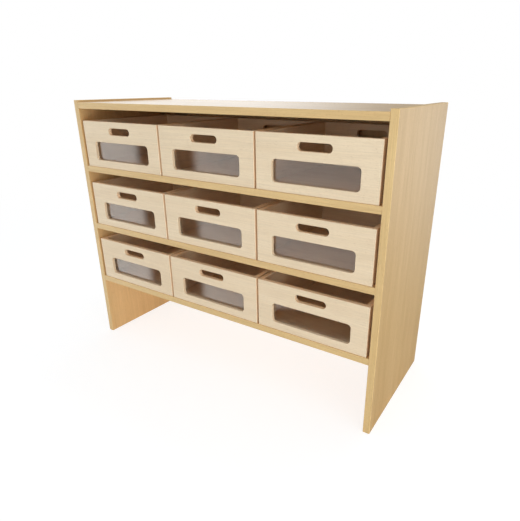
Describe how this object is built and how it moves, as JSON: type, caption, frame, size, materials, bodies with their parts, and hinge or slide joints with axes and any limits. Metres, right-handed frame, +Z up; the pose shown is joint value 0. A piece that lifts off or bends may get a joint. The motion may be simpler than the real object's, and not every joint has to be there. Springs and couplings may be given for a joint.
{
  "type": "tray storage cabinet",
  "caption": "Low open-front wooden cabinet on panel legs, its shelves holding pull-out plywood trays with hand slots and clear front windows.",
  "frame": {"origin": "on the floor under the middle of the cabinet", "axes": "+Z up, +X along the width to the viewer's right, the open front faces -Y"},
  "size_m": [1, 0.39, 0.785],
  "materials": {
    "beech_board": "satin beech-coloured board",
    "edge_band": "satin beech-coloured edge band",
    "back_board": "satin beech-coloured thin board",
    "birch_ply": "clear-lacquered birch plywood",
    "dowel_wood": "plain turned hardwood",
    "zinc_plated_steel": "zinc plated",
    "clear_pane": "clear acrylic sheet"
  },
  "bodies": {
    "cabinet": {"left_side_panel": "beech_board", "right_side_panel": "beech_board", "top_panel": "beech_board", "upper_shelf": "beech_board", "lower_shelf": "beech_board", "bottom_shelf": "beech_board", "back_panel": "back_board", "left_side_edge_bands": "edge_band", "right_side_edge_bands": "edge_band", "top_panel_edge_band": "edge_band", "shelf_edge_bands": "edge_band", "board_dowels": "dowel_wood", "cam_bolts": "zinc_plated_steel", "cam_locks": "zinc_plated_steel", "back_panel_screws": "zinc_plated_steel"},
    "top_left_tray": {"top_left_tray_front": "birch_ply", "top_left_tray_back": "birch_ply", "top_left_tray_sides": "birch_ply", "top_left_tray_base": "birch_ply", "top_left_tray_pane": "clear_pane"},
    "top_centre_tray": {"top_centre_tray_front": "birch_ply", "top_centre_tray_back": "birch_ply", "top_centre_tray_sides": "birch_ply", "top_centre_tray_base": "birch_ply", "top_centre_tray_pane": "clear_pane"},
    "top_right_tray": {"top_right_tray_front": "birch_ply", "top_right_tray_back": "birch_ply", "top_right_tray_sides": "birch_ply", "top_right_tray_base": "birch_ply", "top_right_tray_pane": "clear_pane"},
    "middle_left_tray": {"middle_left_tray_front": "birch_ply", "middle_left_tray_back": "birch_ply", "middle_left_tray_sides": "birch_ply", "middle_left_tray_base": "birch_ply", "middle_left_tray_pane": "clear_pane"},
    "middle_centre_tray": {"middle_centre_tray_front": "birch_ply", "middle_centre_tray_back": "birch_ply", "middle_centre_tray_sides": "birch_ply", "middle_centre_tray_base": "birch_ply", "middle_centre_tray_pane": "clear_pane"},
    "middle_right_tray": {"middle_right_tray_front": "birch_ply", "middle_right_tray_back": "birch_ply", "middle_right_tray_sides": "birch_ply", "middle_right_tray_base": "birch_ply", "middle_right_tray_pane": "clear_pane"},
    "bottom_left_tray": {"bottom_left_tray_front": "birch_ply", "bottom_left_tray_back": "birch_ply", "bottom_left_tray_sides": "birch_ply", "bottom_left_tray_base": "birch_ply", "bottom_left_tray_pane": "clear_pane"},
    "bottom_centre_tray": {"bottom_centre_tray_front": "birch_ply", "bottom_centre_tray_back": "birch_ply", "bottom_centre_tray_sides": "birch_ply", "bottom_centre_tray_base": "birch_ply", "bottom_centre_tray_pane": "clear_pane"},
    "bottom_right_tray": {"bottom_right_tray_front": "birch_ply", "bottom_right_tray_back": "birch_ply", "bottom_right_tray_sides": "birch_ply", "bottom_right_tray_base": "birch_ply", "bottom_right_tray_pane": "clear_pane"}
  },
  "joints": [
    {"name": "top_left_tray_slide", "type": "slide", "parent": "cabinet", "child": "top_left_tray", "axis": [0, -1, 0], "range_m": [0, 0.36]},
    {"name": "top_centre_tray_slide", "type": "slide", "parent": "cabinet", "child": "top_centre_tray", "axis": [0, -1, 0], "range_m": [0, 0.36]},
    {"name": "top_right_tray_slide", "type": "slide", "parent": "cabinet", "child": "top_right_tray", "axis": [0, -1, 0], "range_m": [0, 0.36]},
    {"name": "middle_left_tray_slide", "type": "slide", "parent": "cabinet", "child": "middle_left_tray", "axis": [0, -1, 0], "range_m": [0, 0.36]},
    {"name": "middle_centre_tray_slide", "type": "slide", "parent": "cabinet", "child": "middle_centre_tray", "axis": [0, -1, 0], "range_m": [0, 0.36]},
    {"name": "middle_right_tray_slide", "type": "slide", "parent": "cabinet", "child": "middle_right_tray", "axis": [0, -1, 0], "range_m": [0, 0.36]},
    {"name": "bottom_left_tray_slide", "type": "slide", "parent": "cabinet", "child": "bottom_left_tray", "axis": [0, -1, 0], "range_m": [0, 0.36]},
    {"name": "bottom_centre_tray_slide", "type": "slide", "parent": "cabinet", "child": "bottom_centre_tray", "axis": [0, -1, 0], "range_m": [0, 0.36]},
    {"name": "bottom_right_tray_slide", "type": "slide", "parent": "cabinet", "child": "bottom_right_tray", "axis": [0, -1, 0], "range_m": [0, 0.36]}
  ]
}
